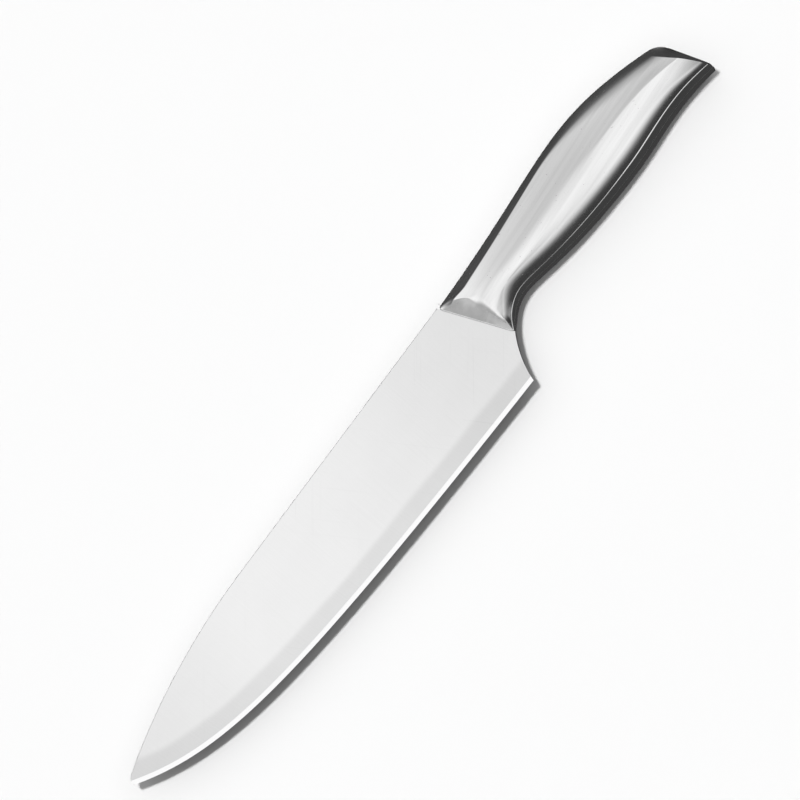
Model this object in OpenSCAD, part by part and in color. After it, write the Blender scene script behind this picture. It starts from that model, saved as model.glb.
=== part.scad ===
// Chef's knife of stainless steel: a stamped blade welded into a hollow handle of two pressed half shells.
// The knife lies on its side. +X runs to the tip, +Y to the cutting edge and +Z out of the left side.
// The shapes are drawn with y = 0 on the straight part of the spine, x = 0 at the front of the handle
// and z = 0 on the mid-plane. placed() then puts the origin under the middle of the knife.

/* [Blade] */
// Length of the blade, from the front of the handle to the tip
blade_len = 203.4; // [185:0.2:225]
// Height of the blade at the heel
heel_h = 45.2; // [43:0.2:50]
// Thickness of the plate
blade_t = 2; // [1.6:0.1:2.6]
// Length of the straight part of the spine
spine_straight = 120; // [100:1:130]
// Radius of the arc on which the spine drops to the tip
spine_r = 268; // [240:1:320]
// Distance of the tip from the line of the spine
tip_drop = 15.5; // [14:0.1:18]
// Length over which the tip is rounded
tip_r = 2.4; // [1.5:0.1:3]
// Width of the ground band along the edge
band_w = 8; // [6:0.5:12]
// Width of the edge bevel
bevel_w = 1.7; // [1:0.1:2.5]
// Thickness of the blade where the edge bevel starts
bevel_t = 0.5; // [0.3:0.05:0.8]
// Thickness left at the cutting edge
edge_t = 0.06; // [0.04:0.01:0.1]
// Length of the stub tang inside the handle
tang_len = 20; // [12:1:26]
// How far each face of the tang lies under the face of the blade
tang_relief = 0.1; // [0.05:0.05:0.3]

/* [Handle] */
// Length of the handle, from its front to the belly corner of the pommel
handle_len = 128.5; // [122:0.5:136]
// Height of the handle at the neck, where it is lowest
neck_h = 21.9; // [20:0.1:23]
// Distance of the belly from the line of the spine at the swell
swell_h = 28; // [26:0.1:30]
// Thickness of the handle between its two ridges
handle_t = 20.4; // [19:0.2:23]
// Thickness of the handle between its two belly creases
belly_t = 12.4; // [12:0.2:14]
// Wall thickness of the pressed shells
wall = 1.2; // [0.8:0.1:1.4]
// Width of the roll-over between the side panel and the belly crease
roll_w = 6; // [5:0.1:7]
// Width of the ledge along the belly crease
ledge = 0.35; // [0.2:0.05:0.5]
// Depth of the sloping facet at the front of the handle
facet_depth = 7.4; // [5:0.1:8]
// Slope of the end of the pommel against a square end, in degrees
pommel_slant = 15.3; // [8:0.1:18]

/* [Welds] */
// Height of the front lips of the shells over the faces of the blade
lip = 0.5; // [0.3:0.1:0.8]
// Radius of the weld bead in front of the lips
bead_r = 0.45; // [0.2:0.05:0.5]
// Width of the weld between the two shells
seam = 0.8; // [0.5:0.1:1.2]
// How far the seam weld reaches inward past the wall
penetration = 0.4; // [0.1:0.1:0.6]

/* [Hidden] */
gap = 0.05; // space left between pieces that meet
front_spine_x = 0.9; // x of the front of the handle at the spine
front_belly_x = -9.1; // x of the front of the handle at the belly
cap_spine_depth = 4.5; // how far in front of the pommel's end its facet starts at the spine
cap_belly_depth = 2.2; // the same at the belly
corner_spine = 5; // length of the rounded corner of the pommel at the spine
corner_belly = 4.5; // the same at the belly
draft = 0.15; // lean of the belly wall over its height
crown = 0.35; // how far the side panels bulge
facet_rim = 0.8; // depth of the front facet at its two ends
facet_share = 0.97; // share of the way from back to belly at which the front facet ends
belly_run = 8; // length behind the front over which the belly crease rises from the lip
back_run = 7; // the same for the back crease
ridge_run = 16; // the same for the ridge
blend_start = 0.5; // station from which the hard back crease softens towards the pommel
blend_run = 0.35; // share of the handle over which it softens
soft_back_w = 7; // distance of the back crease from the back where it is soft
roll_share = 0.62; // height of the start of the roll-over, from the belly crease to the ridge
wall_drop = 1.25 * wall; // how far the inner skin of a side panel lies under the outer one
facet_rows = 4; // rows of points over the front facet
body_rows = 30; // rows of points between the two facets
cap_rows = 5; // rows of points over the facet of the pommel
edge_steps = 32; // steps along the cutting edge
curve_steps = 20; // steps along the other curves of the blade
// Values at the front, the middle and the rear of the handle
belly_heights = [4.6, belly_t / 2, belly_t / 2]; // of the belly crease over the mid-plane
back_heights = [6.4, 5, 7.2]; // of the back crease
ridge_heights = [8.2, handle_t / 2, 9.6]; // of the ridge
ridge_shares = [0.69, 0.57, 0.54]; // place of the ridge, from the back to the belly
back_widths = [5.6, 3.9, 4.4]; // distance of the back crease from the back
half_t = blade_t / 2;
lip_z = half_t + lip;
land_z = half_t + gap;
seam_z = seam / 2;

// Curves: each is a cubic Bezier of four points
edge_curve = [
    [1.1, heel_h], [0.68 * blade_len, 0.91 * heel_h], [0.853 * blade_len, 0.8 * heel_h], [blade_len, tip_drop]
];
neck_curve = [[1.1, heel_h], [-1.8, 0.763 * heel_h], [-13.8, neck_h], [-22, neck_h]];
swell_curve = [[-22, neck_h], [-25, neck_h], [-49, swell_h], [-82, swell_h]];
flare_curve = [
    [-82, swell_h], [-97, swell_h], [-0.84 * handle_len, swell_h - 3.4], [-handle_len, swell_h + 1]
];
back_curve = [
    [front_spine_x, 0.3], [-0.54 * handle_len, -0.85], [-0.58 * handle_len, -11.5], [-0.965 * handle_len, 7.7]
];

function mix(a, b, t) = a + (b - a) * t;
function unit(v) = v / norm(v);
function clamp(x) = min(1, max(0, x));
function smooth(x) = let (u = clamp(x)) u * u * (3 - 2 * u);
function three(v, t) = v[0] * (1 - t) * (1 - 2 * t) + v[1] * 4 * t * (1 - t) + v[2] * t * (2 * t - 1);
function arc3(a, b, c, t) = mix(mix(a, b, t), mix(b, c, t), t);
function bezier(c, t) = mix(arc3(c[0], c[1], c[2], t), arc3(c[1], c[2], c[3], t), t);
// Point of a curve at a given x, by halving; x falls along the curve
function at_x(c, x, low = 0, high = 1, n = 22) =
    let (mid = (low + high) / 2, p = bezier(c, mid))
    n == 0 ? p : p.x > x ? at_x(c, x, mid, high, n - 1) : at_x(c, x, low, mid, n - 1);
function back_at(x) = at_x(back_curve, x);
function belly_at(x) =
    at_x(x > neck_curve[3].x ? neck_curve : x > swell_curve[3].x ? swell_curve : flare_curve, x);

// Plan of the handle: station lines run across it from the back to the belly
front_back = back_at(front_spine_x);
front_belly = belly_at(front_belly_x);
end_belly = belly_at(-handle_len);
near_end_back = back_at(-0.955 * handle_len);
end_back = back_at(-handle_len + tan(pommel_slant) * (end_belly.y - near_end_back.y));
cap_back = back_at(end_back.x + cap_spine_depth);
cap_belly = belly_at(end_belly.x + cap_belly_depth);
end_way = unit(end_belly - end_back);
end_in = [end_way.y, -end_way.x];
span = front_belly.x - cap_belly.x;
function back_pt(t) = back_at(mix(front_back.x, cap_back.x, t));
function belly_pt(t) = belly_at(mix(front_belly.x, cap_belly.x, t));

// Cross-section of the left half at station t: points [w, z], with w measured from the back to the belly
function belly_z(t) = mix(lip_z, three(belly_heights, t), smooth(t * span / belly_run));
function back_z(t) = mix(lip_z, three(back_heights, t), smooth((t * span + 1) / back_run));
function ridge_z(t) = mix(lip_z, three(ridge_heights, t), smooth((t * span + 6) / ridge_run));
function soft(t) = smooth((t - blend_start) / blend_run);
function bulge(u) = [0, crown * 4 * u * (1 - u)];
function section(t, width) =
    let (
        back_crease = [mix(three(back_widths, t), soft_back_w, soft(t)), back_z(t)],
        ridge = [three(ridge_shares, t) * width, ridge_z(t)],
        roll = [width - roll_w, mix(belly_z(t), ridge_z(t), roll_share)],
        crease = [width - draft - ledge, belly_z(t)],
        back_pull = mix([0.1 * back_crease.x, 0.35 * back_crease.y], [0, 0.85 * back_crease.y], soft(t)),
        roll_pull = [crease.x - 0.8, mix(roll.y, crease.y, 0.15)]
    )
    concat(
        [for (k = [0:4]) arc3([0, seam_z], back_pull, back_crease, k / 4)],
        [for (k = [1:4]) mix(back_crease, ridge, k / 4) + bulge(k / 4)],
        [for (k = [1:4]) mix(ridge, roll, k / 4) + bulge(k / 4)],
        [for (k = [1:5]) arc3(roll, roll_pull, crease, k / 5)],
        [[width - draft, crease.y - 0.05], [width, seam_z]]
    );
back_cols = 4; // last column of the back wall
belly_cols = 18; // first column of the belly wall
last_col = 19;
last_row = facet_rows + body_rows + cap_rows;

front_width = norm(front_belly - front_back);

// How far behind the front of the handle the facet ends, at a fraction v of the way from back to belly
function facet_end(v) = facet_rim + facet_depth * sin(180 * pow(clamp(v / facet_share), 0.9));

// A section point in plan and height. reach_in is how far inside the outer skin it lies, and shift moves it
// away from the end of the pommel.
function place_on(p, width, a, b, reach_in, shift) =
    let (
        way = unit(b - a),
        low = a + way * reach_in + end_in * shift,
        high = b - way * reach_in + end_in * shift,
        q = mix(low, high, p[0] / width)
    )
    [q.x, q.y, p[1]];

// Height of the inner skin under an outer height z in column j, whose wall crease is at height top
function inner_z(z, j, top) =
    let (new_top = max(top - wall_drop, land_z))
    j > back_cols && j < belly_cols ? max(z - wall_drop, land_z) :
    mix(seam_z, new_top, (z - seam_z) / (top - seam_z));

function body_point(t, j, reach_in) =
    let (
        a = back_pt(t),
        b = belly_pt(t),
        width = norm(b - a),
        points = section(t, width),
        top = j <= back_cols ? points[back_cols][1] : points[belly_cols][1],
        z = reach_in == 0 ? points[j][1] : inner_z(points[j][1], j, top)
    )
    place_on([points[j][0], z], width, a, b, reach_in, 0);

// Lip over the face of the blade, at the very front
function lip_point(j, reach_in) =
    let (
        p = body_point(0, j, reach_in),
        inside = j > back_cols && j < belly_cols
    )
    inside ? [p.x, p.y, reach_in == 0 ? lip_z : land_z] : p;

// Facet of the pommel, from e = 0 at its crease to e = 1 at the seam
function cap_point(e, j, reach_in) =
    let (
        a = arc3(cap_back, end_back, end_back + corner_spine * end_way, e),
        b = arc3(cap_belly, end_belly, end_belly - corner_belly * end_way, e),
        crease = body_point(1, j, reach_in),
        width = norm(cap_belly - cap_back),
        out = 1 - (1 - e) * (1 - e),
        z = mix(crease.z, seam_z, pow(out, 1.3))
    )
    place_on([section(1, width)[j][0], z], width, a, b, reach_in, reach_in * out);

// Share of the way from back to belly at which column j starts behind the front facet
function column_share(j) = section(0.05, front_width)[j][0] / front_width;

function shell_point(i, j, reach_in) =
    let (
        start = facet_end(column_share(j)) / span,
        g = (i - facet_rows) / body_rows
    )
    g > 1 ? cap_point((i - facet_rows - body_rows) / cap_rows, j, reach_in) :
    g >= 0 ? body_point(mix(start, 1, mix(g, smooth(g), 0.6)), j, reach_in) :
    mix(lip_point(j, reach_in), body_point(start, j, reach_in), i / facet_rows);

function skin(reach_in) = [for (i = [0:last_row]) [for (j = [0:last_col]) shell_point(i, j, reach_in)]];
outer_skin = skin(0);

// Plan of the handle from its front along the back, round the pommel and along the belly
function handle_plan(reach_in) = concat(
    [for (i = [0:last_row]) let (p = shell_point(i, 0, reach_in)) [p.x, p.y]],
    [for (i = [last_row:-1:0]) let (p = shell_point(i, last_col, reach_in)) [p.x, p.y]]
);

low_x = min([for (row = outer_skin, p = row) p.x]);
low_y = min([for (row = outer_skin, p = row) p.y]);
top_z = max([for (row = outer_skin, p = row) p.z]);
module placed() {
    translate([-(low_x + blade_len) / 2, -(low_y + heel_h) / 2, top_z])
        children();
}

// Closed solid between two grids of points, the first one above the second
module between(top, bottom) {
    rows = len(top);
    cols = len(top[0]);
    below = rows * cols;
    points = [for (grid = [top, bottom], row = grid, p = row) p];
    function at(i, j) = i * cols + j;
    function two(a, b, c, d) = [[a, b, c], [a, c, d]];
    faces = concat(
        [for (i = [0:rows - 2], j = [0:cols - 2])
            each two(below + at(i, j + 1), below + at(i + 1, j + 1), below + at(i + 1, j), below + at(i, j))],
        [for (i = [0:rows - 2])
            each two(at(i + 1, 0), at(i, 0), below + at(i, 0), below + at(i + 1, 0))],
        [for (i = [0:rows - 2])
            each two(at(i, cols - 1), at(i + 1, cols - 1),
                below + at(i + 1, cols - 1), below + at(i, cols - 1))],
        [for (j = [0:cols - 2])
            each two(at(0, j), at(0, j + 1), below + at(0, j + 1), below + at(0, j))],
        [for (j = [0:cols - 2])
            each two(at(rows - 1, j + 1), at(rows - 1, j),
                below + at(rows - 1, j), below + at(rows - 1, j + 1))],
        [for (i = [0:rows - 2], j = [0:cols - 2])
            each two(at(i, j), at(i + 1, j), at(i + 1, j + 1), at(i, j + 1))]
    );
    polyhedron(points, faces);
}

module half_shell() {
    between(outer_skin, skin(wall));
}

module handle_shell_left() {
    color("gainsboro")
        placed()
            half_shell();
}

module handle_shell_right() {
    color("silver")
        placed()
            mirror([0, 0, 1])
                half_shell();
}

module seam_weld() {
    inside = handle_plan(wall + penetration);
    color("darkgray")
        placed()
            linear_extrude(seam - 2 * gap, center = true)
                polygon(concat(handle_plan(0), [for (k = [len(inside) - 1:-1:0]) inside[k]]));
}

// Sets its children down where the front of the handle meets the back, with x along that front towards the
// belly and y into the handle
module along_front() {
    way = front_belly - front_back;
    translate(front_back)
        rotate([0, 0, atan2(way.y, way.x)])
            children();
}

// Bead on the left face along the front of the handle: a quarter round over the root that fills the relief
module neck_weld() {
    along_front()
        translate([0, 0, half_t])
            rotate([90, 0, 90])
                linear_extrude(front_width) {
                    intersection() {
                        circle(bead_r, $fn = 48);
                        translate([-bead_r, 0])
                            square(bead_r);
                    }
                    translate([-bead_r, -tang_relief])
                        square([bead_r, tang_relief]);
                }
}

module neck_weld_left() {
    color("whitesmoke")
        placed()
            neck_weld();
}

module neck_weld_right() {
    color("whitesmoke")
        placed()
            mirror([0, 0, 1])
                neck_weld();
}

// Straight front of the handle, a little in front of the shells
front_slope = (front_belly.x - front_back.x) / (front_belly.y - front_back.y);
function front_x(y) = front_back.x + gap + front_slope * (y - front_back.y);

// Outline of the plate; beyond the cutting edge it only has to lie outside it
module blade_outline() {
    tang_gap = wall + penetration + 0.6;
    tang_end = front_belly_x - tang_len;
    shoulder = 0.7;
    margin = 2;
    spine_y = function (x) spine_r - sqrt(spine_r * spine_r - pow(x - spine_straight, 2));
    choil = [for (k = [0:curve_steps]) bezier(neck_curve, k / curve_steps)];
    polygon(concat(
        [[front_x(0), 0]],
        [for (k = [0:curve_steps])
            let (x = mix(spine_straight, blade_len - tip_r, k / curve_steps)) [x, spine_y(x)]],
        [for (k = [1:6])
            arc3([blade_len - tip_r, spine_y(blade_len - tip_r)], [blade_len, spine_y(blade_len)],
                edge_curve[3], k / 6)],
        [for (k = [3, 2]) edge_curve[k] + [margin / 2, margin]],
        [for (k = [1, 0]) edge_curve[k] + [0, margin]],
        [for (p = choil) if (p.x > front_belly.x + gap) p],
        [belly_at(front_belly.x + gap)],
        [for (k = [0:8])
            let (x = mix(front_belly.x + shoulder, tang_end, k / 8))
            [x, belly_at(min(x, front_belly.x)).y - tang_gap]],
        [for (k = [0:8])
            let (x = mix(tang_end, front_x(tang_gap + 1), k / 8))
            [x, back_at(min(x, front_spine_x)).y + tang_gap]]
    ));
}

// Body whose two sides slope in to the cutting edge: the ground band and then the bevel
module edge_grind() {
    reach = 60;
    past_heel = 50;
    past_tip = 4;
    slope = (blade_t - bevel_t) / 2 / (band_w - bevel_w);
    inner = [for (k = [0:edge_steps]) bezier(edge_curve, k / edge_steps)];
    heel_way = unit(edge_curve[1] - edge_curve[0]);
    tip_way = unit(edge_curve[3] - edge_curve[2]);
    edge = concat([inner[0] - past_heel * heel_way], inner, [inner[edge_steps] + past_tip * tip_way]);
    last = len(edge) - 1;
    rings = [for (i = [0:last])
        let (
            way = unit(edge[min(i + 1, last)] - edge[max(i - 1, 0)]),
            inward = [way.y, -way.x],
            at_bevel = edge[i] + bevel_w * inward,
            far = edge[i] + reach * inward
        )
        [for (side = [1, -1])
            each [[edge[i].x, edge[i].y, side * edge_t / 2],
                [at_bevel.x, at_bevel.y, side * bevel_t / 2],
                [far.x, far.y, side * (bevel_t / 2 + (reach - bevel_w) * slope)]]]];
    between([for (r = rings) [for (k = [0:2]) r[2 - k]]], [for (r = rings) [for (k = [3:5]) r[8 - k]]]);
}

// What is taken off both faces of the plate from the neck welds back, so that its flat faces end before them
module relief() {
    past = 10;
    for (side = [0, 1])
        mirror([0, 0, side])
            along_front()
                translate([-past, -bead_r - gap, half_t - tang_relief])
                    cube([front_width + 2 * past, tang_len + 2 * past, blade_t]);
}

module blade() {
    color("lightgray")
        placed()
            difference() {
                intersection() {
                    linear_extrude(blade_t, center = true)
                        blade_outline();
                    edge_grind();
                }
                relief();
            }
}

blade();
handle_shell_left();
handle_shell_right();
seam_weld();
neck_weld_left();
neck_weld_right();
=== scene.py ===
import math

import bmesh
import bpy
import numpy as np
from mathutils import Matrix, Vector


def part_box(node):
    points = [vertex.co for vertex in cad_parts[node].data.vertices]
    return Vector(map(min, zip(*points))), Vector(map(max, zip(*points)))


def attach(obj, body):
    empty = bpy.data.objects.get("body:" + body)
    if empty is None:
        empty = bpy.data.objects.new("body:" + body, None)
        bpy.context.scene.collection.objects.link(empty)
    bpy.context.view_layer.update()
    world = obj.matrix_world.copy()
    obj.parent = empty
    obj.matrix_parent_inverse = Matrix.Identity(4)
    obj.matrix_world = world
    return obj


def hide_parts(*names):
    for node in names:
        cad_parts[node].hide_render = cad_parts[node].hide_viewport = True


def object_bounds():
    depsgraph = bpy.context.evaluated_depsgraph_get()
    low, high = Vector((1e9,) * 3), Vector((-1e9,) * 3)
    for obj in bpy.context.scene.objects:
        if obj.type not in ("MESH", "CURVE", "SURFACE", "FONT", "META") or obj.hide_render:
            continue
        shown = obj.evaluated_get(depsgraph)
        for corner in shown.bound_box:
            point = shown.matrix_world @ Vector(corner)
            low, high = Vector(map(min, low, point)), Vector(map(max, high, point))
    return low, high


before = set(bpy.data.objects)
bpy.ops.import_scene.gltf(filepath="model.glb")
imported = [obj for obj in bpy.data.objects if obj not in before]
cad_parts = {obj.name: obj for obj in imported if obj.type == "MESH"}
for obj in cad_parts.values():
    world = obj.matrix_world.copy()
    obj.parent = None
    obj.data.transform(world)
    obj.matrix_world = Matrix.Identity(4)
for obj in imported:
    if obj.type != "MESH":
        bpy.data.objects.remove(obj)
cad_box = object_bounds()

# Looks of the chef's knife. Lengths are in millimetres in the knife's own drawing frame, as in the CAD:
# y = 0 on the straight part of the spine, x = 0 at the front of the handle, z = 0 on the mid-plane. placed()
# puts points into the frame in metres.
MM = 0.001

# Blade
BLADE_LEN = 203.4
HEEL_H = 45.2
BLADE_T = 2.0
SPINE_STRAIGHT = 120.0
SPINE_R = 268.0
TIP_DROP = 15.5
TIP_R = 2.4
BAND_W = 8.0
BAND_SOFT = 1.3  # half the width over which the ground band runs out into the flat
BEVEL_W = 1.7
BEVEL_T = 0.5
EDGE_T = 0.06
SPINE_ROUND = 0.3  # radius of the eased corners of the plate
LEAST_T = 0.04  # thickness that the easing leaves at the spine
TANG_LEN = 20.0

# Handle: a section swept from the front to the pommel. A station is a share of that way, w a distance from
# the back and z a height over the mid-plane. Groups of three are at the front, the middle and the pommel.
HANDLE_LEN = 128.5
NECK_X, NECK_H = -23.1, 22.09  # where the belly comes nearest to the spine's line
SWELL_X, SWELL_H = -82, 28.0  # where it is furthest away
WALL = 1.2
FRONT_SPINE_X, FRONT_BELLY_X = 0.9, -9.1
FRONT_CORNER_R, FRONT_CORNER_LEN = 1.5, 5  # rounding of the front corner at the spine, and its reach
LIP_Z = BLADE_T / 2 + 0.5  # top of the lip over the blade
LAND_Z = BLADE_T / 2 + 0.05  # lowest that the inside of the skin comes over the blade

# Crease between the back wall and the upper panel, sharp in front and soft towards the pommel
BACK_W, BACK_Z = (6.4, 3.9, 4.4), (7.2, 4.95, 6.8)
SOFT_BACK_W, SOFT_BACK_Z = 8.2, 7.6
SOFT_FROM, SOFT_RUN = 0.5, 0.35  # station from which it goes soft, and the share of the way that takes
BACK_BULGE = 0.1, 0.8  # how far the back wall bulges where the crease is sharp and where it is soft
BACK_R, BACK_R_FROM, BACK_R_RUN = (0.3, 3.2), 0.45, 0.4  # rounding, sharp and soft
CORNER_W, CORNER_Z = 1.8, 1.4  # how far it turns in towards the front corner
CORNER_FROM, CORNER_RUN = 2, 8  # distance behind the front at which it starts to turn back out, and its run

# Ridge between the upper and the lower panel, at a share of the width
RIDGE_SHARES, RIDGE_Z = (0.695, 0.585, 0.605), (7.2, 9.8, 9.6)
RIDGE_R, RIDGE_R_FROM, RIDGE_R_RUN = (3.2, 0.45), 0.45, 0.25  # rounding, in front and behind
HOLLOW, HOLLOW_FROM, HOLLOW_RUN = (0.25, 0.14), 0.3, 0.4  # how far the upper panel dips, in front and behind
CROWN = 0.02  # how far the lower panel bulges, as a share of its width

# Roll-over from the lower panel to the ledge along the belly
LEDGE_Z = 4.2, 6.15, 6.5
LEDGE_STATIONS = 0, 0.14, 0.23, 0.35, 0.5, 0.6, 0.72, 0.82, 1
LEDGE_WIDTHS = 0.3, 0.23, 0.18, 0.24, 0.26, 0.39, 0.46, 0.38, 0.3
LEDGE_R, LEDGE_R_SHARE = 0.14, 0.65  # rounding of its outer edge, and the most of its width that may take
LEDGE_FALL = 0.05  # how far the ledge falls outward
DRAFT = 0.15
LIP_RUN = 5.5  # length over which the ledge comes down to the lip at the front
WALL_FROM, WALL_RUN, WALL_LEAN = -0.5, 4, 0.25  # the wall that stands over it there, and how far it leans
BROW = 0.04  # least height of that wall, and how far it stands back
ROLL_R = 11.5, 10.4, 7.4  # radius of the roll-over
FRONT_ROLL_R, FRONT_ROLL_RUN = 6.0, 14  # radius at the front, and the length over which that goes over
ROLL_TAPER, ROLL_TAPER_FROM, ROLL_TAPER_RUN = 0.15, 0.85, 0.15  # how the radius shrinks at the pommel
ROLL_END = math.radians(41)  # slope at which the roll-over meets the ledge
FIRST_TILT, TILT_LIMITS = math.radians(6), (0.02, 0.5)  # slope at which it leaves the lower panel

# Facet at the front
FACET_DEPTH = 6.6  # depth beyond that at its two ends
FACET_RIM, FACET_RIM_SHARE = (1.0, 0.25), 0.3  # depth at the back and past this share of the width
FACET_SHARE = 0.95  # share of the width at which it ends
FACET_LEAN, FACET_POINT = 0.955, 1.2  # powers that move its middle and narrow its ends
FACET_EASE, FACET_EASE_FROM, FACET_EASE_RUN = 0.14, 0.25, 0.2  # how much less deep it is on the belly side
FACET_CROWN, FULL_CROWN_DEPTH = 0.2, 8  # how far it bulges, and the depth from which it does so in full
FACET_EDGE = 2.2, 0.15, 2.4  # rounding of its edge: at the back, over the ridge, and more on the belly side
FACET_EDGE_BACK, FACET_EDGE_BELLY = (0.12, 0.12), (0.33, 0.2)  # share from which that changes, and its run
FULL_EDGE_DEPTH, LEAST_EDGE = 3, 0.15  # depth from which it is rounded in full, and its least share
SHARE_STATION = 0.04  # station whose section spreads the columns over the facet
FACET_DRAW = 0.85  # how far the lip's points are drawn in line with those of the facet's edge

# Pommel
POMMEL_SLANT = math.radians(15.3)
CAP_SPINE, CAP_BELLY = 4.5, 1.3  # depth of the pommel facet at the back and at the belly
CAP_BOW, CAP_LEAN = 3.5, 0.7  # how far its crease bows forward, mostly on the back's side
CAP_FALL = 1.3  # power by which the facet falls to the seam
CORNER_SPINE, CORNER_BELLY = 5.0, 4.5  # rounding of the two corners of the pommel
RIDGE_SINK, LEDGE_SINK = 0.35, 0.7  # how far the ridge and the ledge sink before it
END_FROM, END_RUN = 0.88, 0.12  # station from which they do, and the share of the way that takes

# Inside and welds
WALL_DROP = 1.5  # how far the inside of the skin lies below its outside
SEAM_Z = 0.4
GAP = 0.05
BEAD_R = 0.45

FACET_ROWS, FILLET_ROWS, BODY_ROWS, CAP_ROWS = 14, 7, 170, 22
ROW_CROWDING = 0.6  # how far the rows of the skin crowd towards the two ends of the handle
ROLL_STEPS = 6  # rounds in which the start of the roll-over is found


def mix(a, b, t):
    return a + (b - a) * t


def smooth(x):
    u = np.clip(x, 0, 1)
    return u * u * (3 - 2 * u)


def three(values, t):
    """The quadratic through three values at t = 0, 0.5 and 1."""
    a, b, c = values
    return a * (1 - t) * (1 - 2 * t) + b * 4 * t * (1 - t) + c * t * (2 * t - 1)


def arc3(a, b, c, t):
    return mix(mix(a, b, t), mix(b, c, t), t)


def bezier(curve, t):
    a, b, c, d = (np.asarray(p, float) for p in curve)
    t = np.asarray(t, float)[..., None]
    return mix(arc3(a, b, c, t), arc3(b, c, d, t), t)


def unit(v):
    return v / np.linalg.norm(v, axis=-1, keepdims=True)


def placed(points):
    """Points of the drawing frame, in millimetres, in the row frame in metres."""
    return np.asarray(points, float) * MM + SHIFT


blade_low, blade_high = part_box("blade")
SHIFT = np.array([
    blade_high.x - BLADE_LEN * MM, blade_high.y - HEEL_H * MM, (blade_low.z + blade_high.z) / 2
])

# Plan curves, each a cubic Bezier whose x falls along it
HEEL_FRONT_X = 1.1
edge_curve = [
    (HEEL_FRONT_X, HEEL_H), (0.68 * BLADE_LEN, 0.91 * HEEL_H), (0.853 * BLADE_LEN, 0.8 * HEEL_H),
    (BLADE_LEN, TIP_DROP),
]
neck_curve = [(HEEL_FRONT_X, HEEL_H), (-0.7, 0.862 * HEEL_H), (-10.0, NECK_H), (NECK_X, NECK_H)]
swell_curve = [(NECK_X, NECK_H), (-30.8, NECK_H), (-44.3, SWELL_H), (SWELL_X, SWELL_H)]
flare_curve = [
    (SWELL_X, SWELL_H), (-97, SWELL_H), (-0.84 * HANDLE_LEN, SWELL_H - 3.4), (-HANDLE_LEN, SWELL_H + 1)
]
back_curve = [
    (FRONT_SPINE_X, 0.3), (-0.54 * HANDLE_LEN, -0.85), (-0.58 * HANDLE_LEN, -11.5),
    (-0.965 * HANDLE_LEN, 7.7),
]
CURVE_SAMPLES = np.linspace(0, 1, 3001)


def table_of(*curves):
    """Points along curves whose x falls, sorted by rising x."""
    points = np.concatenate([bezier(c, CURVE_SAMPLES) for c in curves])[::-1]
    return points[np.concatenate([[True], np.diff(points[:, 0]) > 1e-9])]


BACK = table_of(back_curve)
BELLY = table_of(neck_curve, swell_curve, flare_curve)


def on(curve, x):
    """The point of a tabulated curve at each x."""
    x = np.asarray(x, float)
    return np.stack([x, np.interp(x, curve[:, 0], curve[:, 1])], -1)


front_back, front_belly = on(BACK, FRONT_SPINE_X), on(BELLY, FRONT_BELLY_X)
end_belly = on(BELLY, -HANDLE_LEN)
near_end_back = on(BACK, -0.955 * HANDLE_LEN)
end_back = on(BACK, -HANDLE_LEN + math.tan(POMMEL_SLANT) * (end_belly[1] - near_end_back[1]))
cap_back, cap_belly = on(BACK, end_back[0] + CAP_SPINE), on(BELLY, end_belly[0] + CAP_BELLY)
end_way = unit(end_belly - end_back)
end_in = np.array([end_way[1], -end_way[0]])
SPAN = front_belly[0] - cap_belly[0]


# ---------------------------------------------------------------- handle
def pair(w, z):
    return np.stack([w, z], -1)


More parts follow.
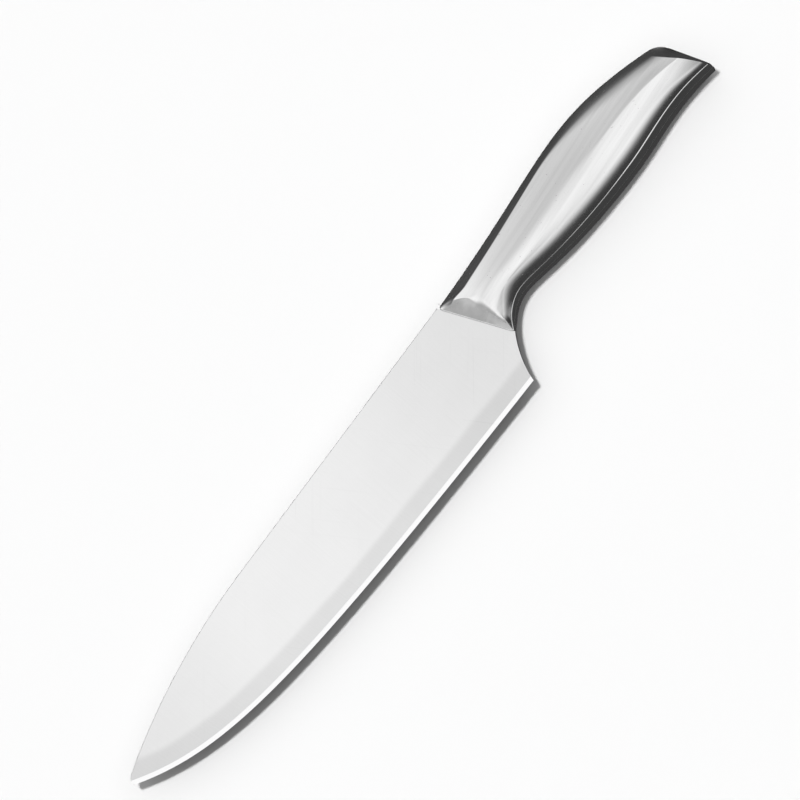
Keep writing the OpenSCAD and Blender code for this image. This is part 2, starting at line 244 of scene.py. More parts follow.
def keys(t):
    """What the section at station t hangs on: its width, and the places of its creases as (w, z) pairs."""
    back = on(BACK, mix(front_back[0], cap_back[0], t))
    belly = on(BELLY, mix(front_belly[0], cap_belly[0], t))
    width = np.linalg.norm(belly - back, axis=-1)
    behind = t * SPAN
    soft = smooth((t - SOFT_FROM) / SOFT_RUN)
    corner = 1 - smooth((behind - CORNER_FROM) / CORNER_RUN)
    end = smooth((t - END_FROM) / END_RUN)
    back_w = mix(three(BACK_W, t), SOFT_BACK_W, soft) - CORNER_W * corner
    back_z = mix(three(BACK_Z, t), SOFT_BACK_Z, soft) - CORNER_Z * corner
    ridge_w, ridge_z = three(RIDGE_SHARES, t) * width, three(RIDGE_Z, t) - RIDGE_SINK * end
    full_z = three(LEDGE_Z, t) - LEDGE_SINK * end
    belly_z = mix(LIP_Z, full_z, 1 - (1 - np.clip(behind / LIP_RUN, 0, 1)) ** 2)
    ledge = np.interp(t, LEDGE_STATIONS, LEDGE_WIDTHS)
    crease_w = width - DRAFT - ledge
    # Near the front the ledge comes down to the lip, and a steep wall joins it to the roll-over
    wall_h = (full_z - belly_z) * smooth((behind - WALL_FROM) / WALL_RUN) + BROW
    brow_w, brow_z = crease_w - BROW - WALL_LEAN * wall_h, belly_z + wall_h
    roll_r = mix(FRONT_ROLL_R, three(ROLL_R, t), smooth(behind / FRONT_ROLL_RUN))
    roll_r = roll_r * (1 - ROLL_TAPER * smooth((t - ROLL_TAPER_FROM) / ROLL_TAPER_RUN))
    tilt = np.full_like(width, FIRST_TILT)
    for _ in range(ROLL_STEPS):
        roll_w = brow_w - roll_r * (math.sin(ROLL_END) - np.sin(tilt))
        roll_z = brow_z + roll_r * (np.cos(tilt) - math.cos(ROLL_END))
        tilt = np.clip(np.arctan2(ridge_z - roll_z, roll_w - ridge_w), *TILT_LIMITS)
    chord = unit(pair(back_w, back_z - SEAM_Z))
    out = np.stack([-chord[..., 1], chord[..., 0]], -1) * mix(*BACK_BULGE, soft)[..., None]
    return {
        "back": back, "belly": belly, "width": width, "tilt": tilt, "roll_r": roll_r,
        "foot": pair(0 * width, 0 * width + SEAM_Z),
        "pull": pair(back_w / 2, (back_z + SEAM_Z) / 2) + out,
        "back_crease": pair(back_w, back_z),
        "ridge": pair(ridge_w, ridge_z),
        "roll": pair(roll_w, roll_z),
        "brow": pair(brow_w, brow_z),
        "crease": pair(crease_w, belly_z),
        "shelf": pair(width - DRAFT, belly_z - LEDGE_FALL),
        "toe": pair(width, 0 * width + SEAM_Z),
        "ledge": ledge,
        "hollow": mix(*HOLLOW, smooth((t - HOLLOW_FROM) / HOLLOW_RUN)),
        "back_r": mix(*BACK_R, smooth((t - BACK_R_FROM) / BACK_R_RUN)),
        "ridge_r": mix(*RIDGE_R, smooth((t - RIDGE_R_FROM) / RIDGE_R_RUN)),
    }


def bowed(a, b, u, height):
    """Point between a and b that bulges upward by height in the middle."""
    p = mix(a, b, u[..., None])
    return p + np.stack([0 * u, height * 4 * u * (1 - u)], -1)


def back_wall(k, u):
    return arc3(k["foot"], k["pull"], k["back_crease"], u[..., None])


def upper_panel(k, u):
    return bowed(k["back_crease"], k["ridge"], u, -k["hollow"])


def lower_panel(k, u):
    return bowed(k["ridge"], k["roll"], u, CROWN * length_of(k, "ridge", "roll"))


def length_of(k, a, b):
    return np.linalg.norm(k[b] - k[a], axis=-1)


def section(t, piece, u):
    """Points (w, z) at stations t, on the named piece of the section and at u along it."""
    k = keys(t)
    wall_cut = k["back_r"] / length_of(k, "foot", "back_crease")
    back_cut = k["back_r"] / length_of(k, "back_crease", "ridge")
    ridge_cut = k["ridge_r"] / length_of(k, "back_crease", "ridge")
    lower_cut = k["ridge_r"] / length_of(k, "ridge", "roll")
    e = u[..., None]
    if piece == "back_wall":
        return back_wall(k, u * (1 - wall_cut))
    if piece == "back_fillet":
        return arc3(back_wall(k, 1 - wall_cut), k["back_crease"], upper_panel(k, back_cut), e)
    if piece == "upper":
        return upper_panel(k, mix(back_cut, 1 - ridge_cut, u))
    if piece == "ridge_fillet":
        return arc3(upper_panel(k, 1 - ridge_cut), k["ridge"], lower_panel(k, lower_cut), e)
    if piece == "lower":
        return lower_panel(k, mix(lower_cut, 1, u))
    if piece == "roll":
        angle = mix(k["tilt"], ROLL_END, u)
        across = k["roll_r"] * (np.sin(angle) - np.sin(k["tilt"]))
        down = k["roll_r"] * (np.cos(k["tilt"]) - np.cos(angle))
        return k["roll"] + np.stack([across, -down], -1)
    if piece == "brow":
        return mix(k["brow"], k["crease"], e)
    if piece == "ledge":
        return mix(k["crease"], k["shelf"], e * 0.5)
    lip_in = mix(k["shelf"], k["crease"], np.minimum(LEDGE_R / k["ledge"], LEDGE_R_SHARE)[..., None])
    lip_out = mix(k["shelf"], k["toe"], (LEDGE_R / length_of(k, "shelf", "toe"))[..., None])
    if piece == "ledge_fillet":
        return arc3(lip_in, k["shelf"], lip_out, e)
    return mix(lip_out, k["toe"], e)


# Columns of the handle skin, from the back seam to the belly seam: each piece of the section with its steps
COLUMNS = [
    (piece, u)
    for piece, steps in (
        ("back_wall", 12), ("back_fillet", 8), ("upper", 10), ("ridge_fillet", 10), ("lower", 10),
        ("roll", 14), ("brow", 4), ("ledge", 2), ("ledge_fillet", 5), ("belly_wall", 7),
    )
    for u in np.arange(steps) / (steps - (piece == "belly_wall"))
]
PIECES = [piece for piece, _ in COLUMNS]
BACK_TOP = PIECES.index("upper")  # column where the back wall has become the upper panel
BELLY_TOP = PIECES.index("ledge")  # column where the belly wall starts


def section_points(t):
    """Shares of the width and heights at stations t, an array whose last axis runs over the columns."""
    t = np.asarray(t, float)
    out = np.zeros(t.shape + (2,))
    for piece in dict.fromkeys(PIECES):
        cols = [j for j, p in enumerate(PIECES) if p == piece]
        u = np.broadcast_to(np.array([COLUMNS[j][1] for j in cols]), t[..., cols].shape)
        out[..., cols, :] = section(t[..., cols], piece, u)
    return np.stack([t, out[..., 0] / keys(t)["width"], out[..., 1]], -1)


def facet_start(share):
    """Station at which the section comes out of the front facet, at a share of the way to the belly."""
    arc = np.sin(math.pi * np.clip(share / FACET_SHARE, 0, 1) ** FACET_LEAN)
    depth = FACET_DEPTH * (1 - FACET_EASE * smooth((share - FACET_EASE_FROM) / FACET_EASE_RUN))
    return (mix(*FACET_RIM, smooth(share / FACET_RIM_SHARE)) + depth * arc ** FACET_POINT) / SPAN


def facet_edge(share, depth):
    """Rounding of the edge of the front facet, at a share of the way to the belly."""
    at_back, sharp, more = FACET_EDGE
    (back_from, back_run), (belly_from, belly_run) = FACET_EDGE_BACK, FACET_EDGE_BELLY
    edge_r = mix(at_back, sharp, smooth((share - back_from) / back_run))
    edge_r = edge_r + more * smooth((share - belly_from) / belly_run)
    return edge_r * np.clip(depth / FULL_EDGE_DEPTH, LEAST_EDGE, 1)


def skin_rows():
    """Skin of the left half as (t, share, z), from the lip over the blade to the pommel facet's crease."""
    share = section_points(np.full(len(COLUMNS), SHARE_STATION))[:, 1]
    start = facet_start(share)
    edge_r = facet_edge(share, start * SPAN)
    lip = section_points(0 * start)
    lip[:, 2] = np.minimum(lip[:, 2], LIP_Z)
    first = section_points(start)
    lip[:, 1] = mix(lip[:, 1], first[:, 1], FACET_DRAW)
    second = section_points(start + edge_r / SPAN)
    before = mix(lip, first, (1 - edge_r / (edge_r + start * SPAN))[:, None])
    rows = []
    for u in np.arange(FACET_ROWS) / FACET_ROWS:
        row = mix(lip, before, u)
        row[:, 2] += FACET_CROWN * 4 * u * (1 - u) * np.clip(start * SPAN / FULL_CROWN_DEPTH, 0, 1)
        rows.append(row)
    rows += [arc3(before, first, second, u) for u in np.arange(FILLET_ROWS) / FILLET_ROWS]
    end = cap_start()
    g = np.arange(BODY_ROWS + 1) / BODY_ROWS
    g = mix(g, smooth(g), ROW_CROWDING)
    body = section_points(mix((start + edge_r / SPAN)[None], end[None], g[:, None]))
    return np.concatenate([np.array(rows), body])


def cap_start():
    """Station of the crease of the pommel facet, which bows forward."""
    share = section_points(np.ones(len(COLUMNS)))[:, 1]
    share = np.clip(share, 0, 1)
    return 1 - CAP_BOW * np.sin(math.pi * share ** CAP_LEAN) * (1 - share) / SPAN


def front_corner(points):
    """Rounds the front corner of the handle at the spine, in plan."""
    way = unit(front_belly - front_back)
    rel = points[..., :2] - front_back
    across, behind = rel @ way, -(rel @ np.array([way[1], -way[0]]))
    short = np.clip(FRONT_CORNER_R - across, 0, FRONT_CORNER_R)
    set_back = FRONT_CORNER_R - np.sqrt(FRONT_CORNER_R ** 2 - short ** 2)
    out = points.copy()
    out[..., 0] -= set_back * (1 - smooth(behind / FRONT_CORNER_LEN))
    return out


def skin(rows, reach_in):
    """Points of the skin in the drawing frame; reach_in is how far inside the outer skin they lie."""
    k = keys(rows[..., 0])
    way = unit(k["belly"] - k["back"])
    z = rows[..., 2]
    body = mix(k["back"] + way * reach_in, k["belly"] - way * reach_in, rows[..., 1:2])
    e = np.linspace(0, 1, CAP_ROWS + 1)[1:, None, None]
    out = 1 - (1 - e) ** 2
    a = arc3(cap_back, end_back, end_back + CORNER_SPINE * end_way, e) + way[-1, 0] * reach_in
    b = arc3(cap_belly, end_belly, end_belly - CORNER_BELLY * end_way, e) - way[-1, 0] * reach_in
    share = rows[-1, :, 1:2]
    bow = body[-1] - mix(cap_back + way[-1, 0] * reach_in, cap_belly - way[-1, 0] * reach_in, share)
    cap = mix(a, b, share) + bow * (1 - e) ** 2 + end_in * reach_in * out
    cap_z = mix(z[-1], SEAM_Z, (out ** CAP_FALL)[..., 0])
    plan, heights = np.concatenate([body, cap]), np.concatenate([z, cap_z])
    if reach_in > 0:
        top = np.where(np.arange(len(COLUMNS)) < BACK_TOP, heights[:, [BACK_TOP]], heights[:, [BELLY_TOP]])
        new_top = np.maximum(top - WALL_DROP, LAND_Z)
        wall = mix(SEAM_Z, new_top, np.clip((heights - SEAM_Z) / np.maximum(top - SEAM_Z, 1e-6), 0, 1))
        panel = np.maximum(heights - WALL_DROP, LAND_Z)
        columns = np.arange(len(COLUMNS))
        heights = np.where((columns >= BACK_TOP) & (columns < BELLY_TOP), panel, wall)
    return front_corner(np.concatenate([plan, heights[..., None]], -1))


def closed_between(top, bottom):
    """Vertices and quads of the closed solid between two grids of points."""
    rows, cols = top.shape[:2]
    index = np.arange(rows * cols).reshape(rows, cols)
    under = index + rows * cols

    def quads(g, flip):
        q = np.stack([g[:-1, :-1], g[1:, :-1], g[1:, 1:], g[:-1, 1:]], -1).reshape(-1, 4)
        return q[:, ::-1] if flip else q

    def wall(line_a, line_b):
        return np.stack([line_a[1:], line_a[:-1], line_b[:-1], line_b[1:]], -1)

    faces = [
        quads(index, True), quads(under, False),
        wall(index[:, 0], under[:, 0])[:, ::-1], wall(index[:, -1], under[:, -1]),
        wall(index[0], under[0]), wall(index[-1], under[-1])[:, ::-1],
    ]
    return np.concatenate([top.reshape(-1, 3), bottom.reshape(-1, 3)]), np.concatenate(faces)


def make_piece(name, points, faces, material, node, slot, sharp_angle=35):
    """A mesh piece that stands for a CAD node, from points in the drawing frame."""
    mesh = bpy.data.meshes.new(name)
    mesh.from_pydata(placed(points).tolist(), [], faces.tolist())
    mesh.validate()
    mesh.materials.append(material)
    mesh.shade_smooth()
    mesh.set_sharp_from_angle(angle=math.radians(sharp_angle))
    piece = bpy.data.objects.new(name, mesh)
    bpy.context.scene.collection.objects.link(piece)
    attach(piece, "root")
    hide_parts(node)
    return piece


def mirrored(points, faces):
    return points * np.array([1, 1, -1]), faces[:, ::-1]


def make_handle(steel):
    rows = skin_rows()
    outer = skin(rows, 0)
    points, faces = closed_between(outer, skin(rows, WALL))
    make_piece("handle_skin_left", points, faces, steel, "handle_shell_left", "handle_steel")
    make_piece("handle_skin_right", *mirrored(points, faces), steel, "handle_shell_right", "handle_steel")
    return outer


# ---------------------------------------------------------------- blade
EDGE = bezier(edge_curve, CURVE_SAMPLES)
heel_way = unit(EDGE[1] - EDGE[0])
EDGE_LONG = np.concatenate([EDGE[:1] - heel_way * s for s in (30.0, 15.0)] + [EDGE])


def edge_distance(points):
    """Distance of points from the cutting edge, which runs straight on behind the heel."""
    a, b = EDGE_LONG[:-1], EDGE_LONG[1:]
    way, flat = b - a, points.reshape(-1, 2)
    out = np.full(len(flat), 1e9)
    for part in np.array_split(np.arange(len(a)), 40):
        rel = flat[:, None] - a[part][None]
        u = np.clip((rel * way[part]).sum(-1) / (way[part] ** 2).sum(-1), 0, 1)
        out = np.minimum(out, np.linalg.norm(rel - u[..., None] * way[part], axis=-1).min(1))
    return out.reshape(points.shape[:-1])


def half_thickness(d):
    """Half the thickness of the blade at a distance d from the cutting edge."""
    bevel = mix(EDGE_T / 2, BEVEL_T / 2, np.clip(d / BEVEL_W, 0, 1))
    slope = (BLADE_T - BEVEL_T) / 2 / (BAND_W - BEVEL_W)
    over = d - BAND_W
    blend = (over + BAND_SOFT) ** 2 / (4 * BAND_SOFT)
    eased = np.where(np.abs(over) < BAND_SOFT, blend, np.maximum(over, 0))
    ground = BLADE_T / 2 + slope * (over - eased)
    return np.where(d < BEVEL_W, bevel, ground)


def spine_y(x):
    """The spine: straight, then an arc that drops to the tip."""
    return SPINE_R - np.sqrt(SPINE_R ** 2 - np.maximum(x - SPINE_STRAIGHT, 0) ** 2)


def plate_top(x):
    """Line of the spine, with the tip rounded off."""
    start = BLADE_LEN - TIP_R
    tip = np.array([arc3(np.array([start, spine_y(start)]), np.array([BLADE_LEN, spine_y(BLADE_LEN)]),
                         np.array([BLADE_LEN, TIP_DROP]), u) for u in np.linspace(0, 1, 60)])
    return np.where(x > start, np.interp(x, tip[:, 0], tip[:, 1]), spine_y(x))


def make_blade(steel):
    stations = np.concatenate([
        [1.7, 2.4], np.linspace(3.4, 150, 110), np.linspace(151.2, 196, 60),
        BLADE_LEN - 7 * (1 - np.linspace(0.03, 0.995, 26)) ** 1.6,
    ])
    bevel_steps = np.linspace(0, 1, 6)[:-1]
    band_steps = np.concatenate([
        [BEVEL_W, BEVEL_W + 0.02], np.linspace(2.4, 6.4, 7), np.linspace(6.9, 9.6, 9),
    ])
    ease = SPINE_ROUND * (1 - np.cos(np.linspace(0, math.pi / 2, 6)))
    flat_steps = 26

    def row_places(x):
        """Distances below the spine of each row at one station, from the edge up to the spine."""
        low, top = float(np.interp(x, EDGE[:, 0], EDGE[:, 1])), float(plate_top(np.array(x)))
        height = max(low - top, 0.02)
        steep = 1 / math.sqrt(1 + slope_at(x) ** 2)
        bands = np.concatenate([bevel_steps * BEVEL_W, band_steps]) / steep
        rounding = min(SPINE_ROUND, 0.3 * height)
        room = height - rounding
        squeeze = min(1.0, 0.92 * room / bands[-1])
        up = bands * squeeze
        flat = mix(up[-1], room, np.linspace(0, 1, flat_steps + 1)[1:])
        eased = height - ease[::-1][1:] / SPINE_ROUND * rounding
        return low - np.concatenate([up, flat, eased])

    def slope_at(x):
        d = 0.2
        after, before = (np.interp(x + side * d, EDGE[:, 0], EDGE[:, 1]) for side in (1, -1))
        return float(after - before) / (2 * d)

    regular = np.array([np.stack([np.full(len(row_places(x)), x), row_places(x)], -1) for x in stations])
    # Behind the heel the rows run on level, to the choil or under the handle
    y = row_places(HEEL_FRONT_X)
    choil = bezier(neck_curve, CURVE_SAMPLES)[::-1]
    choil_x = np.interp(y, choil[:, 1], choil[:, 0])
    front = front_belly - front_back
    front_x = front_back[0] + (y - front_back[1]) * front[0] / front[1]
    under = smooth((NECK_H - 3.4 - y) / 1.5) * smooth((y - 3.0) / 1.5)
    first_x = np.where(y > front_belly[1], choil_x, front_x + GAP - TANG_LEN * under)
    shares = np.array([0, 0.02, 0.06, 0.12, 0.2, 0.3, 0.42, 0.56, 0.72, 0.86])
    back_part = []
    for s in shares:
        x = mix(first_x, stations[0], s)
        back_part.append(np.stack([x, mix(y, regular[0, :, 1], s)], -1))
    plan = np.concatenate([np.array(back_part), regular])
    distance = edge_distance(plan)
    thick = half_thickness(distance)
    # The corners of the plate are eased at the spine
    down = plan[..., 1] - plate_top(plan[..., 0])
    near = np.clip(SPINE_ROUND - down, 0, SPINE_ROUND)
    off = SPINE_ROUND - np.sqrt(SPINE_ROUND ** 2 - near ** 2)
    thick = np.maximum(thick - off * np.minimum(1, thick), LEAST_T / 2)
    left = np.concatenate([plan, thick[..., None]], -1)
    right = left * np.array([1, 1, -1])
    piece = make_piece("blade_plate", *closed_between(left, right), steel, "blade", "blade_steel", 3.0)
    from_edge = piece.data.attributes.new("from_edge", "FLOAT", "POINT")
    from_edge.data.foreach_set("value", np.tile(distance.ravel(), 2))


# ---------------------------------------------------------------- welds
def make_seam(outer, steel):
    """The weld between the shells, ground flush: a band along the back, the pommel and the belly."""
    path = np.concatenate([outer[:, 0, :2], outer[::-1, -1, :2]])
    keep = np.concatenate([[True], np.linalg.norm(np.diff(path, axis=0), axis=-1) > 0.02])
    path = path[keep]
    way = unit(np.gradient(path, axis=0))
    inward = np.stack([way[:, 1], -way[:, 0]], -1)
    third = len(path) // 3
    inward = -inward if ((path.mean(0) - path[third]) * inward[third]).sum() < 0 else inward
    half, ease, depth = SEAM_Z - GAP, 0.06, WALL
    profile = [
        (depth, -half), (ease, -half), (0.0, -half + ease), (0.0, half - ease), (ease, half), (depth, half)
    ]
    rings = np.array([np.column_stack([path + inward * d, np.full(len(path), z)]) for d, z in profile])
    points, count = rings.transpose(1, 0, 2).reshape(-1, 3), len(profile)
    faces = []
    for i in range(len(path) - 1):
        for k in range(count):
            a, b = i * count + k, i * count + (k + 1) % count
            faces.append([a, b, b + count, a + count])
    close_ends(make_piece("seam_bead", points, np.array(faces), steel, "seam_weld", "weld_steel"))


def close_ends(piece):
    """Fills the open ends of a tube and turns all its faces outward."""
    bm = bmesh.new()
    bm.from_mesh(piece.data)
    bmesh.ops.holes_fill(bm, edges=[e for e in bm.edges if e.is_boundary], sides=0)
    bmesh.ops.recalc_face_normals(bm, faces=bm.faces)
    bm.to_mesh(piece.data)
    bm.free()


def make_neck_beads(steel):
    """A polished bead on each face of the blade along the front of the handle."""
    way = unit(front_belly - front_back)
    out = np.array([way[1], -way[0]])
    along = np.linspace(0.9, float(np.linalg.norm(front_belly - front_back)) - 0.25, 90)
    angles = np.linspace(0, math.pi / 2, 9)
    profile = [(0.0, 0.0)] + [(BEAD_R * math.cos(a), BEAD_R * math.sin(a)) for a in angles]
    taper = np.minimum(1, np.minimum(along - along[0], along[-1] - along) / 1.2 + 0.25)
    rings = []
    for s, size in zip(along, taper):
        base = front_back + way * s
        rings.append([[*(base + out * d * size), BLADE_T / 2 + 0.001 + z * size] for d, z in profile])
    count = len(profile)
    points = np.array(rings).reshape(-1, 3)
    faces = np.array([
        [i * count + k, i * count + (k + 1) % count, (i + 1) * count + (k + 1) % count, (i + 1) * count + k]
        for i in range(len(along) - 1) for k in range(count)
    ])
    for side, shape in (("left", (points, faces)), ("right", mirrored(points, faces))):
        close_ends(make_piece(f"neck_bead_{side}", *shape, steel, f"neck_weld_{side}", "weld_steel"))


# ---------------------------------------------------------------- materials
HEEL_X, TIP_X = (float(placed([x, 0, 0])[0]) for x in (0, BLADE_LEN))


class Nodes:
    """Short calls for the nodes of one node tree."""

    def __init__(self, tree):
        self.nodes, self.links = tree.nodes, tree.links

    def put(self, value, socket):
        if isinstance(value, bpy.types.NodeSocket):
            self.links.new(value, socket)
        elif isinstance(value, (int, float)) and socket.type == "RGBA":
            socket.default_value = (value, value, value, 1)
        else:
            socket.default_value = value

    def math(self, operation, *values):
        node = self.nodes.new("ShaderNodeMath")
        node.operation = operation
        for value, socket in zip(values, node.inputs):
            self.put(value, socket)
        return node.outputs[0]

    def remap(self, value, low, high, to_low=0.0, to_high=1.0, soft=False):
        node = self.nodes.new("ShaderNodeMapRange")
        node.interpolation_type = "SMOOTHSTEP" if soft else "LINEAR"
        for name, number in (
            ("Value", value), ("From Min", low), ("From Max", high), ("To Min", to_low), ("To Max", to_high)
        ):
            self.put(number, node.inputs[name])
        return node.outputs["Result"]

    def spread(self, noise, low, high):
        """Noise, most of which lies between 0.3 and 0.7, spread from low to high."""
        return self.remap(noise, 0.3, 0.7, low, high)

    def blend(self, share, a, b):
        """Grey a where share is 0 and grey b where it is 1."""
        node = self.nodes.new("ShaderNodeMix")
        node.data_type = "FLOAT"
        for name, value in (("Factor", share), ("A", a), ("B", b)):
            self.put(value, node.inputs[name])
        return node.outputs["Result"]

    def ramp(self, value, stops):
        """Grey by value, which runs from 0 to 1; stops are (value, grey)."""
        node = self.nodes.new("ShaderNodeValToRGB")
        node.color_ramp.interpolation = "LINEAR"
        points = node.color_ramp.elements
        while len(points) < len(stops):
            points.new(0.5)
        for point, (place, grey) in zip(points, stops):
            point.position = place
            point.color = (grey, grey, grey, 1)
        self.put(value, node.inputs["Fac"])
        return node.outputs["Color"]

    def noise(self, scale, detail=3.0, rough=0.55, turn=0.0, seed=0.0):
        """Noise over the piece. scale gives its waves per metre along x, y and z, after a turn about z."""
        place = self.nodes.new("ShaderNodeTexCoord").outputs["Object"]
        for rotation, stretch in (((0, 0, turn), (1, 1, 1)), ((0, 0, 0), scale)):
            mapping = self.nodes.new("ShaderNodeMapping")
            self.put(rotation, mapping.inputs["Rotation"])
            self.put(stretch, mapping.inputs["Scale"])
            self.put((seed, seed, seed) if stretch == scale else (0, 0, 0), mapping.inputs["Location"])
            self.links.new(place, mapping.inputs["Vector"])
            place = mapping.outputs["Vector"]
        node = self.nodes.new("ShaderNodeTexNoise")
        self.put(1.0, node.inputs["Scale"])
        self.put(detail, node.inputs["Detail"])
        self.put(rough, node.inputs["Roughness"])
        self.links.new(place, node.inputs["Vector"])
        return node.outputs["Fac"]

    def bump(self, height, distance):
        node = self.nodes.new("ShaderNodeBump")
        self.put(1.0, node.inputs["Strength"])
        self.put(distance, node.inputs["Distance"])
        self.links.new(height, node.inputs["Height"])
        return node.outputs["Normal"]


def metal(name):
    material = bpy.data.materials.new(name)
    material.use_nodes = True
    shader = material.node_tree.nodes["Principled BSDF"]
    shader.inputs["Metallic"].default_value = 1.0
    return material, shader, Nodes(material.node_tree)


def scratches(n, turn, seed, count=0.70):
    """A few long fine scratches in one direction."""
    lines = n.noise((2600, 22, 22), 1.0, 0.4, turn, seed)
    return n.remap(lines, count, count + 0.05, 0, 1)


def make_blade_steel():
    """Satin plate with fine cross grain. Painted shade darkens it towards the heel and the tip, so it is
    paler in the middle; the ground band is a duller grind whose colour is darkened further by painted shade,
    and the bevel is painted full bright as a painted highlight.
    """
    material, shader, n = metal("satin_blade_steel")
    node = n.nodes.new("ShaderNodeAttribute")
    node.attribute_name = "from_edge"
    distance = node.outputs["Fac"]
    waver = n.math("MULTIPLY", n.math("SUBTRACT", n.noise((28, 28, 28), 2.0), 0.5), 2.2)
    band = n.remap(n.math("ADD", distance, waver), BAND_W - 1.4, BAND_W + 1.4, 1, 0, soft=True)
    bevel = n.remap(distance, BEVEL_W, BEVEL_W + 0.03, 1, 0)
    cloud = n.noise((16, 26, 26), 4.0, 0.6)
    grain = n.noise((5600, 45, 45), 3.0, 0.6, 0.06)
    coarse = n.noise((1500, 14, 14), 2.0, 0.5, -0.03)
    flat = n.math("ADD", n.spread(cloud, 0.925, 0.965), n.spread(grain, -0.02, 0.02))
    # The ground band's colour is darker than the flat: partly its coarser grind, partly painted shade for
    # the darker light its slope reflects
    ground = n.math("ADD", n.spread(cloud, 0.83, 0.87), n.spread(coarse, -0.02, 0.02))
    fine = n.math("MAXIMUM", scratches(n, 0.9, 3.0), scratches(n, -0.5, 7.0, 0.72))
    along = n.nodes.new("ShaderNodeSeparateXYZ")
    n.links.new(n.nodes.new("ShaderNodeTexCoord").outputs["Object"], along.inputs[0])
    x = along.outputs["X"]
    # Painted shade: the plate's colour grows darker towards the heel and towards the tip
    painted_heel_shade = n.remap(x, HEEL_X, HEEL_X + 0.09, 0.09, 0, soft=True)
    ends = n.math("ADD", painted_heel_shade, n.remap(x, TIP_X - 0.07, TIP_X, 0, 0.08))
    tone = n.math("SUBTRACT", n.blend(band, flat, ground), ends)
    # Painted highlight: the polished bevel's colour is set to full white, brighter than the plate
    tone = n.blend(bevel, tone, 1.0)
    tone = n.math("SUBTRACT", tone, n.math("MULTIPLY", fine, 0.03))
    n.put(tone, shader.inputs["Base Color"])
    rough = n.blend(band, n.spread(grain, 0.30, 0.38), n.spread(coarse, 0.34, 0.44))
    n.put(n.blend(bevel, rough, 0.2), shader.inputs["Roughness"])
    height = n.math("ADD", grain, n.math("MULTIPLY", n.math("MULTIPLY", coarse, band), 1.5))
    height = n.math("SUBTRACT", height, n.math("MULTIPLY", fine, 0.6))
    n.put(n.bump(height, 4e-7), shader.inputs["Normal"])
    return material


def make_handle_steel():
    """Polished pressed steel with a fine grain along the handle, soft streaks and a few specks."""
    material, shader, n = metal("polished_handle_steel")
    grain = n.noise((40, 5200, 5200), 3.0, 0.6, -0.06)
    streak = n.noise((9, 420, 420), 3.0, 0.5, -0.05)
    cloud = n.noise((30, 60, 60), 3.0, 0.6)
    speck = n.remap(n.noise((900, 1300, 1300), 1.0, 0.3, 0.3, 5.0), 0.765, 0.80, 0, 1)
    tone = n.math("ADD", n.spread(streak, 0.83, 0.93), n.spread(cloud, -0.02, 0.02))
    tone = n.math("ADD", tone, n.spread(grain, -0.015, 0.015))
    tone = n.math("MULTIPLY", tone, n.math("SUBTRACT", 1.0, n.math("MULTIPLY", speck, 0.25)))
    n.put(tone, shader.inputs["Base Color"])
    rough = n.math("ADD", n.spread(grain, 0.13, 0.19), n.spread(cloud, 0.0, 0.05))
    n.put(n.math("ADD", rough, n.math("MULTIPLY", speck, 0.2)), shader.inputs["Roughness"])
    n.put(n.bump(grain, 2.5e-7), shader.inputs["Normal"])
    return material


def make_weld_steel():
    """Weld metal ground flush: a little darker and rougher, with faint ripples across the bead."""
    material, shader, n = metal("weld_steel")
    ripple = n.noise((1400, 1400, 500), 2.0, 0.5)
    cloud = n.noise((240, 240, 240), 3.0, 0.6)
    n.put(n.spread(cloud, 0.66, 0.8), shader.inputs["Base Color"])
    n.put(n.spread(ripple, 0.24, 0.36), shader.inputs["Roughness"])
    n.put(n.bump(ripple, 3e-6), shader.inputs["Normal"])
    return material


# ---------------------------------------------------------------- stage
# Brightness of the studio round the knife, by the direction's angle from straight up (degrees, positive
# towards the edge of the blade): a broad soft light overhead that fades out past the edge and down the spine
# side, and a dim light low on the edge side
STUDIO_ARCH = [
    (-180, 0.05), (-112, 0.06), (-94, 0.2), (-82, 0.42), (-70, 0.52), (-56, 0.65), (-42, 0.75), (-28, 0.9),
    (-14, 0.96), (-4, 1.0), (5, 0.97), (12, 0.86), (21, 0.64), (30, 0.34), (37, 0.15), (45, 0.05),
    (60, 0.04), (80, 0.05), (100, 0.32), (122, 0.15), (140, 0.05), (180, 0.05),
]
# The same towards the two ends of the knife, by the height of the direction, from -1 (down) to 1 (up)
STUDIO_ENDS = [
    (-1, 0.04), (-0.6, 0.1), (-0.35, 0.33), (-0.1, 0.41), (0.3, 0.44), (0.46, 0.66), (0.62, 1.0), (1, 1.05),
]


def make_world():
    """The studio that the metal reflects, graded by direction; it doesn't light the floor."""
    world = bpy.data.worlds.new("studio")
    world.use_nodes = True
    n = Nodes(world.node_tree)
    split = n.nodes.new("ShaderNodeSeparateXYZ")
    n.links.new(n.nodes.new("ShaderNodeTexCoord").outputs["Generated"], split.inputs[0])
    x, y, z = split.outputs
    angle = n.math("ARCTAN2", y, z)
    arch = n.ramp(n.remap(angle, -math.pi, math.pi), [((a + 180) / 360, g) for a, g in STUDIO_ARCH])
    ends = n.ramp(n.remap(z, -1, 1), [((h + 1) / 2, g) for h, g in STUDIO_ENDS])
    # Low beyond the pommel it is dark, and low on the spine side it is dim
    dark = n.math(
        "MULTIPLY", n.remap(x, -0.55, -0.8, 0, 1, soft=True), n.remap(z, 0.45, 0.2, 0, 1, soft=True)
    )
    ends = n.blend(dark, ends, 0.05)
    low_spine_side = n.math(
        "MULTIPLY", n.remap(y, -0.25, -0.55, 0, 1, soft=True), n.remap(z, 0.4, 0.1, 0, 1, soft=True)
    )
    ends = n.math("MULTIPLY", ends, n.remap(low_spine_side, 0, 1, 1, 0.3))
    to_ends = n.remap(n.math("ABSOLUTE", x), 0.35, 0.8, 0, 1, soft=True)
    bright = n.blend(to_ends, arch, ends)
    n.put(bright, world.node_tree.nodes["Background"].inputs["Color"])
    world.cycles_visibility.diffuse = False
    bpy.context.scene.world = world


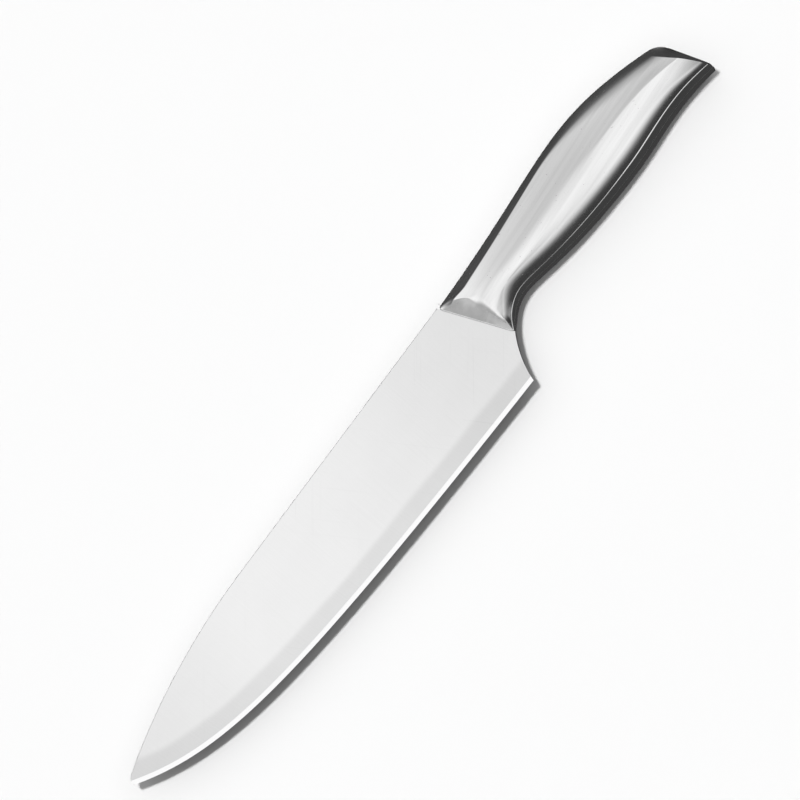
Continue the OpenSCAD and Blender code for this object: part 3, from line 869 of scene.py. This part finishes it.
def sun(name, towards, radiance, angle):
    """Lights only matt things: a white floor under it would shine with the given radiance."""
    data = bpy.data.lights.new(name, "SUN")
    data.energy, data.angle = radiance * math.pi, angle
    light = bpy.data.objects.new(name, data)
    light.rotation_mode = "QUATERNION"
    light.rotation_quaternion = Vector(towards).to_track_quat("Z", "Y")
    light.visible_glossy = False
    bpy.context.scene.collection.objects.link(light)


def stage_piece(name, mesh, material):
    mesh.materials.append(material)
    piece = bpy.data.objects.new(name, mesh)
    piece.visible_glossy = False
    bpy.context.scene.collection.objects.link(piece)
    return piece


def make_stage():
    """A plain pale floor under a dome that glows evenly; the metal reflects neither."""
    floor_size, dome_radius, below = 60.0, 28.0, 0.0002
    low = cad_box[0].z - below
    half = floor_size / 2
    corners = [(x * half, y * half, low) for x, y in ((-1, -1), (1, -1), (1, 1), (-1, 1))]
    mesh = bpy.data.meshes.new("floor")
    mesh.from_pydata(corners, [], [(0, 1, 2, 3)])
    pale = bpy.data.materials.new("pale_floor")
    pale.use_nodes = True
    shader = pale.node_tree.nodes["Principled BSDF"]
    shader.inputs["Base Color"].default_value = (0.88, 0.88, 0.88, 1)
    shader.inputs["Roughness"].default_value = 0.9
    shader.inputs["Specular IOR Level"].default_value = 0.0
    stage_piece("floor", mesh, pale)

    bm = bmesh.new()
    bmesh.ops.create_uvsphere(bm, u_segments=48, v_segments=24, radius=dome_radius)
    dome_mesh = bpy.data.meshes.new("backdrop")
    bm.to_mesh(dome_mesh)
    bm.free()
    glow = bpy.data.materials.new("backdrop_glow")
    glow.use_nodes = True
    shader = glow.node_tree.nodes["Principled BSDF"]
    shader.inputs["Base Color"].default_value = (0, 0, 0, 1)
    shader.inputs["Emission Color"].default_value = (1, 1, 1, 1)
    shader.inputs["Emission Strength"].default_value = 0.93
    dome = stage_piece("backdrop", dome_mesh, glow)
    dome.visible_diffuse = dome.visible_shadow = False

    sun("key_light", (0, -0.02, 1), 0.72, math.radians(6))
    sun("fill_light", (0, -0.2, 1), 0.4, math.radians(120))


# Camera: where it aims, from the front of the handle, the width of its view and its distance, in millimetres
AIM_ALONG, AIM_ACROSS, AIM_START_Y = 35.4, 7.8, 1.03
VIEW_WIDTH = 287.5
CAMERA_DISTANCE = 6000.0
CAMERA_TILT = math.radians(18)  # lean of the view towards the belly
HANDLE_TURN = math.radians(36.7)  # turn of the handle from straight up in the picture


def make_camera():
    """Looks down on the left side, tilted towards the belly, with the knife on a diagonal."""
    along = np.array([1, 0, 0])
    across = np.array([0, math.cos(CAMERA_TILT), -math.sin(CAMERA_TILT)])
    back = np.array([0, math.sin(CAMERA_TILT), math.cos(CAMERA_TILT)])
    right = math.cos(HANDLE_TURN) * across - math.sin(HANDLE_TURN) * along
    up = -math.cos(HANDLE_TURN) * along - math.sin(HANDLE_TURN) * across
    target = placed([0, AIM_START_Y, 0]) + (AIM_ALONG * along + AIM_ACROSS * across) * MM
    data = bpy.data.cameras.new("camera")
    data.sensor_width = 36
    data.lens = data.sensor_width * CAMERA_DISTANCE / VIEW_WIDTH
    camera = bpy.data.objects.new("camera", data)
    camera.location = Vector(target + back * CAMERA_DISTANCE * MM)
    camera.rotation_mode = "QUATERNION"
    camera.rotation_quaternion = Matrix(np.column_stack([right, up, back]).tolist()).to_quaternion()
    bpy.context.scene.collection.objects.link(camera)
    bpy.context.scene.camera = camera


weld_steel = make_weld_steel()
outer = make_handle(make_handle_steel())
make_blade(make_blade_steel())
make_seam(outer, weld_steel)
make_neck_beads(weld_steel)
make_camera()
make_stage()
make_world()
bpy.context.scene.view_settings.view_transform = "Standard"
